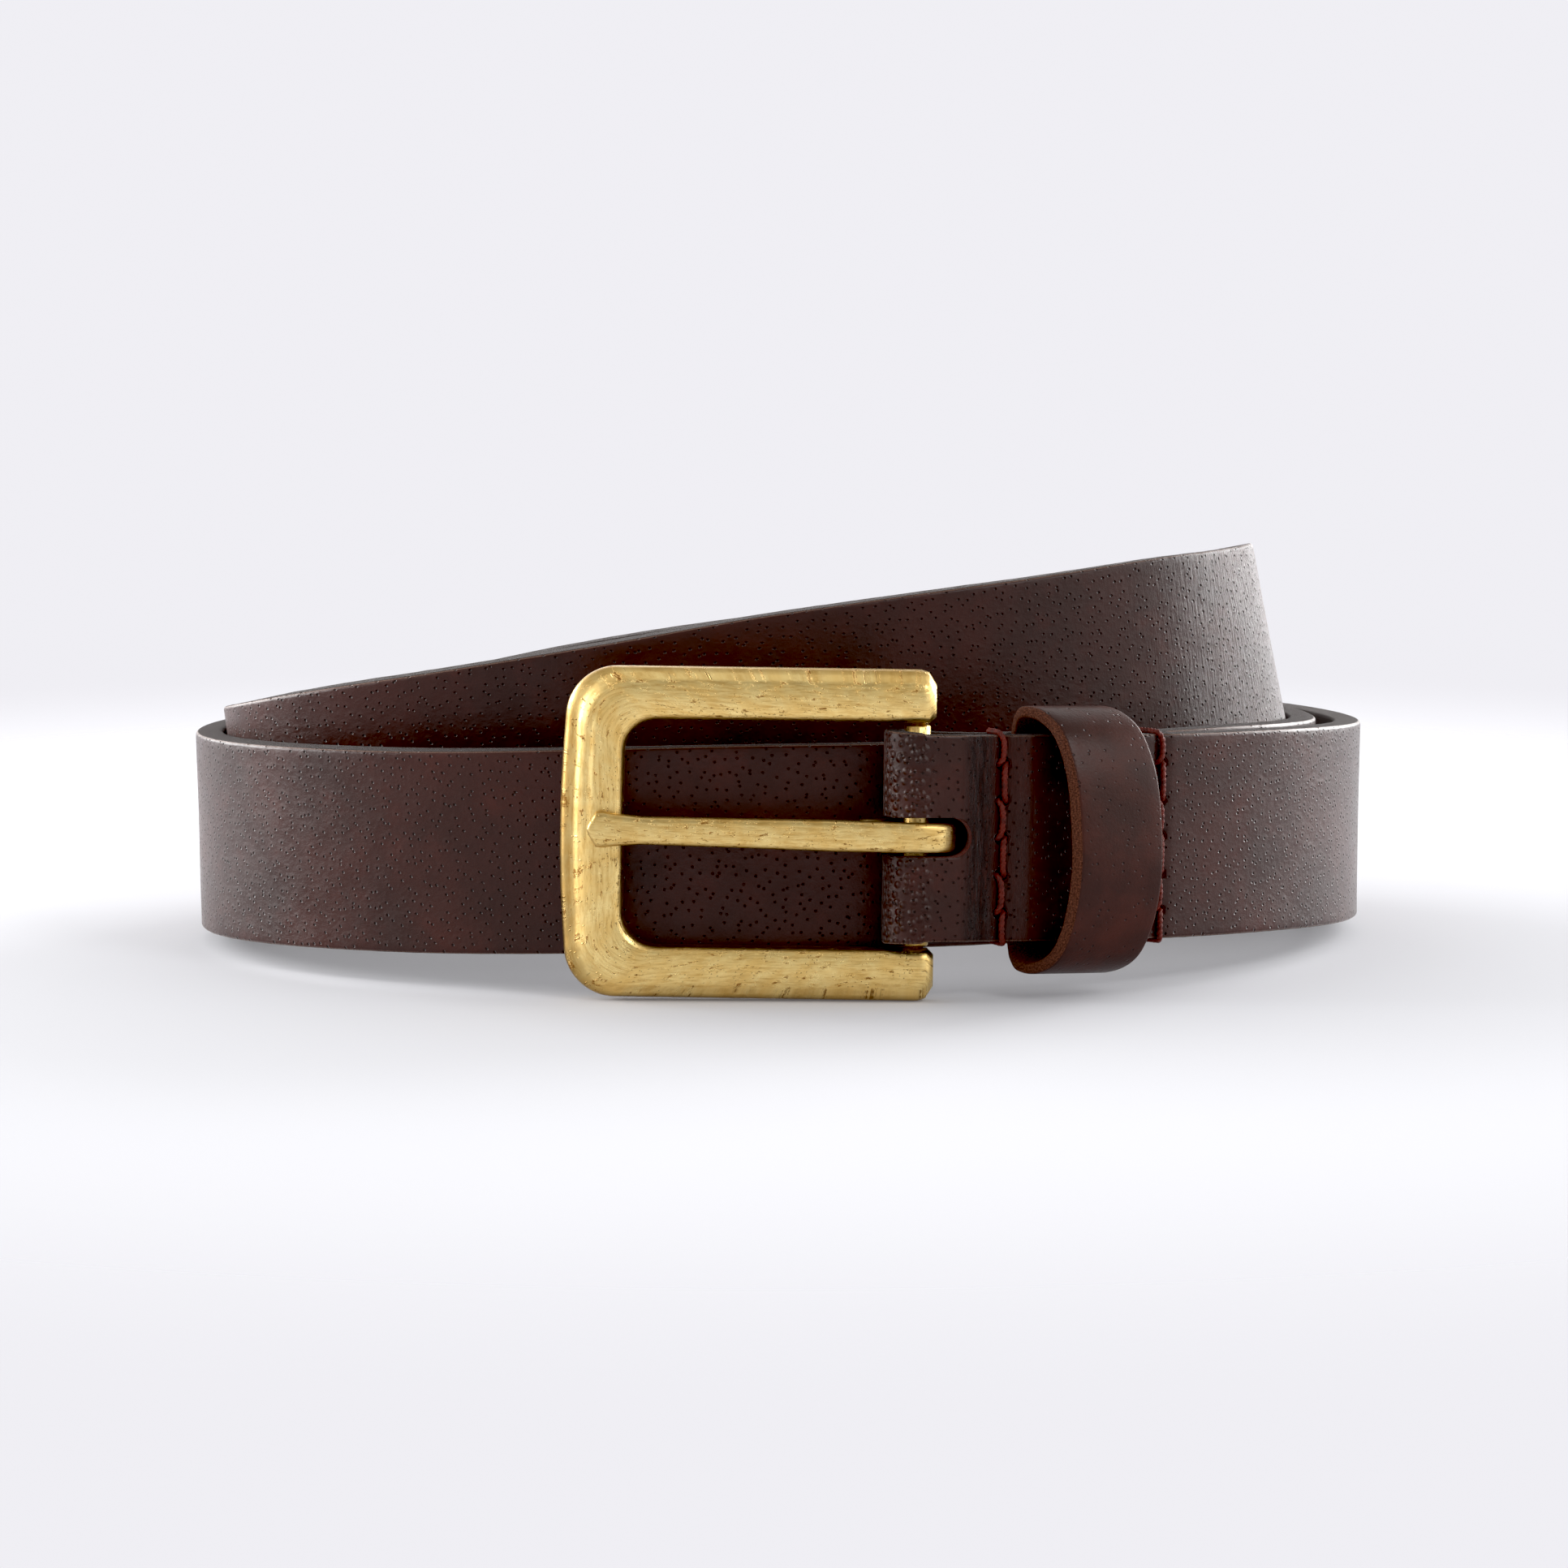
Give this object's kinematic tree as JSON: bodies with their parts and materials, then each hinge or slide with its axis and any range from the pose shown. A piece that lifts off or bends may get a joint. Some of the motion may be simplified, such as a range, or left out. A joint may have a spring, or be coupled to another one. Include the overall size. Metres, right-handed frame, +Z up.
{
  "type": "leather belt",
  "caption": "Coiled dress belt: plain leather strap folded round an open brass buckle with a prong, a leather keeper loop and two stitched rows.",
  "frame": {"origin": "on the surface the coiled belt stands on, under the middle of its box", "axes": "+X along the coil's long side, -Y towards the buckle, +Z up across the strap's width"},
  "size_m": [0.178, 0.1389, 0.0603],
  "materials": {
    "strap_leather": "dark brown full-grain leather with a soft wax sheen, open pores and raw edges",
    "keeper_leather": "dark brown smooth leather, thinner, with a soft sheen and a brown raw edge",
    "buckle_brass": "solid antique brass, lightly brushed, with dark speckles and worn edges",
    "stitch_thread": "waxed red-brown thread"
  },
  "bodies": {
    "strap": {"strap": "strap_leather", "stitch_row_1_thread_a": "stitch_thread", "stitch_row_1_thread_b": "stitch_thread", "stitch_row_2_thread_a": "stitch_thread", "stitch_row_2_thread_b": "stitch_thread"},
    "buckle": {"buckle_frame": "buckle_brass", "heel_bar": "buckle_brass"},
    "prong": {"prong": "buckle_brass"},
    "keeper": {"keeper_loop": "keeper_leather"}
  },
  "joints": [
    {"name": "buckle_swing", "type": "hinge", "parent": "strap", "child": "buckle", "pos_m": [0.01418, -0.06057, 0.02405], "axis": [0.0179, 0.0638, 0.9978], "range_deg": [0, 35]},
    {"name": "prong_swing", "type": "hinge", "parent": "buckle", "child": "prong", "pos_m": [0.01418, -0.06057, 0.02405], "axis": [0.0179, 0.0638, 0.9978], "range_deg": [0, 70]},
    {"name": "keeper_slide", "type": "slide", "parent": "strap", "child": "keeper", "axis": [0.9433, 0.328, -0.0514], "range_m": [-0.0003, 0.003]}
  ]
}
